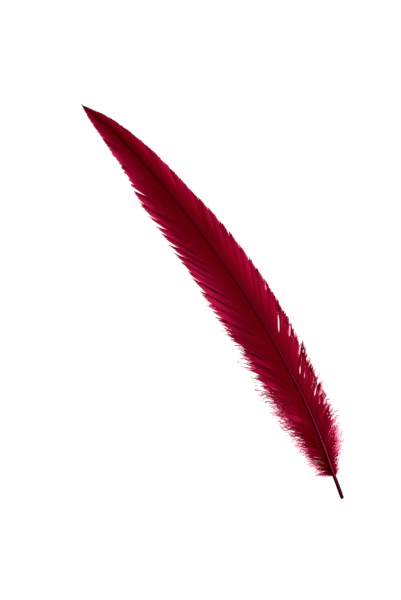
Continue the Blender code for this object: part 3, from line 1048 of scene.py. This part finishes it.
def noise(tree, scale, detail):
    """Noise from 0 to 1 that is fixed to the feather's place."""
    made = node(tree, "ShaderNodeTexNoise")
    set_inputs(made, {"Scale": scale, "Detail": detail})
    tree.links.new(node(tree, "ShaderNodeNewGeometry").outputs["Position"], made.inputs["Vector"])
    return made.outputs["Fac"]


def mottle(tree, scale, detail, strength):
    """A factor that varies about 1."""
    return maths(tree, "MULTIPLY_ADD", noise(tree, scale, detail), 2 * strength, 1 - strength)


# The colour by glow: near black as painted shade in the folds, crimson, then pink where the keratin is thin,
# partly as painted light shining through.
DYE_AND_LIGHT_STOPS = (
    (0.0, (0.01, 0.0, 0.0002)), (0.2, (0.07, 0.0, 0.001)), (0.35, (0.122, 0.0001, 0.0026)),
    (0.5, (0.185, 0.0001, 0.0095)), (0.65, (0.27, 0.0004, 0.022)), (0.78, (0.38, 0.003, 0.043)),
    (0.88, (0.52, 0.012, 0.085)), (1.0, (0.95, 0.1, 0.28)),
)
SPECULAR_TINT = (1.0, 0.03, 0.2, 1)
SHEEN_TINT = (1.0, 0.0, 0.15, 1)
SHEEN_ROUGHNESS = 0.45

# Noises as (scale, detail): two for the colouring, in patches and from place to place, and one for the gloss.
DYE_PATCHES = (60, 2)
DYE_FLECKS = (1500, 1)
GLOSS_PATCHES = (400, 2)
GLOSS_UNEVENNESS = 0.2


def dyed_material(name, roughness, specular, sheen, unevenness):
    """Dyed keratin, coloured by its glow, which holds painted light and shade besides its colour, with the
    colouring a little uneven in patches and from place to place.
    """
    material = bpy.data.materials.new(name)
    material.use_nodes = True
    tree = material.node_tree
    shader = tree.nodes["Principled BSDF"]
    base = ramp(tree, glow_of(tree), DYE_AND_LIGHT_STOPS)
    patches = mottle(tree, *DYE_PATCHES, unevenness)
    flecks = mottle(tree, *DYE_FLECKS, unevenness)
    strength = maths(tree, "MULTIPLY", patches, flecks)
    tree.links.new(scaled(tree, base, strength), shader.inputs["Base Color"])
    rough = maths(tree, "MULTIPLY", mottle(tree, *GLOSS_PATCHES, GLOSS_UNEVENNESS), roughness)
    tree.links.new(rough, shader.inputs["Roughness"])
    set_inputs(shader, {
        "Specular IOR Level": specular, "Specular Tint": SPECULAR_TINT,
        "Sheen Weight": sheen, "Sheen Roughness": SHEEN_ROUGHNESS, "Sheen Tint": SHEEN_TINT,
    })
    return material


# The stage: a floor and a surround of glowing paper, a key light placed by the picture's right, its up
# and the height over the table, and a weak even fill.
PAPER_COLOUR = (0.3, 0.3, 0.3, 1)
PAPER_ROUGHNESS = 0.9
PAPER_GLOW = 0.97
WHITE = (1, 1, 1, 1)
FLOOR_SIZE = 8
FLOOR_HEIGHT = -0.2 * MM
SURROUND_RADIUS = 3.9
KEY_RIGHT = 1.0
KEY_UP = 0.2
KEY_OVER = 1.3
KEY_DISTANCE = 1.4
KEY_SIZE = 0.45
KEY_WATTS = 26.5
FILL_STRENGTH = 0.18


def paper_material():
    """White paper that glows evenly, as on a light table, so that the feather's shadow hardly shows."""
    material = bpy.data.materials.new("pale_paper")
    material.use_nodes = True
    shader = material.node_tree.nodes["Principled BSDF"]
    set_inputs(shader, {
        "Base Color": PAPER_COLOUR, "Roughness": PAPER_ROUGHNESS, "Specular IOR Level": 0,
        "Emission Color": WHITE, "Emission Strength": PAPER_GLOW,
    })
    return material


def set_aside(thing):
    """Hides a thing of the stage from all but the camera. It lights nothing, so that the feather's far flanks
    stay dark.
    """
    thing.visible_diffuse = False
    thing.visible_glossy = False
    thing.visible_shadow = False


def photo_axes():
    """The picture's right and up, as the feather's frame sees them."""
    run = np.array(PHOTO_TIP) - np.array(PHOTO_QUILL_END)
    run = run / np.linalg.norm(run)
    side = np.array([run[1], -run[0]])
    return Vector((run[0], side[0], 0)), Vector((-run[1], -side[1], 0))


def add_camera(quill_end):
    """Looks straight down, at the photograph's scale and framing."""
    right, up = photo_axes()
    offset = (np.array(PHOTO_SIZE) / 2 - np.array(PHOTO_QUILL_END)) * MM_PER_PIXEL * MM
    centre = Vector(quill_end) + right * offset[0] - up * offset[1]
    camera = bpy.data.objects.new("camera", bpy.data.cameras.new("camera"))
    bpy.context.scene.collection.objects.link(camera)
    camera.matrix_world = Matrix((
        (right.x, up.x, 0, centre.x),
        (right.y, up.y, 0, centre.y),
        (0, 0, 1, CAMERA_HEIGHT),
        (0, 0, 0, 1),
    ))
    field = PHOTO_SIZE[1] * MM_PER_PIXEL * MM
    camera.data.sensor_width = SENSOR_LONG_SIDE
    camera.data.lens = SENSOR_LONG_SIDE * (CAMERA_HEIGHT - SUBJECT_HEIGHT) / field
    bpy.context.scene.camera = camera


def add_key_light():
    """A soft round lamp that shines on the feather's middle."""
    right, up = photo_axes()
    lamp = bpy.data.objects.new("key", bpy.data.lights.new("key", "AREA"))
    lamp.data.shape = "DISK"
    lamp.data.size = KEY_SIZE
    lamp.data.energy = KEY_WATTS
    place = (right * KEY_RIGHT + up * KEY_UP + Vector((0, 0, KEY_OVER))).normalized() * KEY_DISTANCE
    lamp.location = place
    lamp.rotation_euler = place.to_track_quat("Z", "Y").to_euler()
    bpy.context.scene.collection.objects.link(lamp)


def add_stage():
    """A pale floor and surround, a soft key light from the picture's right, and a weak even fill."""
    paper = paper_material()
    bpy.ops.mesh.primitive_plane_add(size=FLOOR_SIZE, location=(0, 0, FLOOR_HEIGHT))
    floor = bpy.context.object
    floor.name = "floor"
    bpy.ops.mesh.primitive_uv_sphere_add(segments=48, ring_count=24, radius=SURROUND_RADIUS)
    surround = bpy.context.object
    surround.name = "surround"
    for thing in (floor, surround):
        thing.data.materials.append(paper)
        set_aside(thing)
    add_key_light()
    world = bpy.data.worlds.new("studio")
    bpy.context.scene.world = world
    world.use_nodes = True
    set_inputs(world.node_tree.nodes["Background"], {"Color": WHITE, "Strength": FILL_STRENGTH})
    bpy.context.scene.view_settings.view_transform = "Standard"


def quill_end_of(solid):
    """The middle of the quill's end on the solid, on the table."""
    points = np.array([vertex.co for vertex in solid.data.vertices])
    end = points[points[:, 0] < points[:, 0].min() + 0.5 * MM]
    return (end[:, 0].min(), end[:, 1].mean(), 0)


origin = quill_end_of(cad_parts["feather"])
add_camera(origin)
add_stage()
keratin = dyed_material("shaft_keratin", roughness=0.36, specular=0.22, sheen=0.0, unevenness=0.15)
barbs = dyed_material("hooked_barbs", roughness=0.5, specular=0.12, sheen=0.05, unevenness=0.18)
downy = dyed_material("downy_barbs", roughness=0.6, specular=0.1, sheen=0.05, unevenness=0.15)
pieces = [
    shaft("shaft", keratin, origin),
    vane("wide_vane", WIDE, barbs, origin, seed=5),
    vane("narrow_vane", NARROW, barbs, origin, seed=8),
    down("wide_down", WIDE, downy, origin, seed=31),
    down("narrow_down", NARROW, downy, origin, seed=47),
]
for piece in pieces:
    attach(piece, "root")
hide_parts("feather")
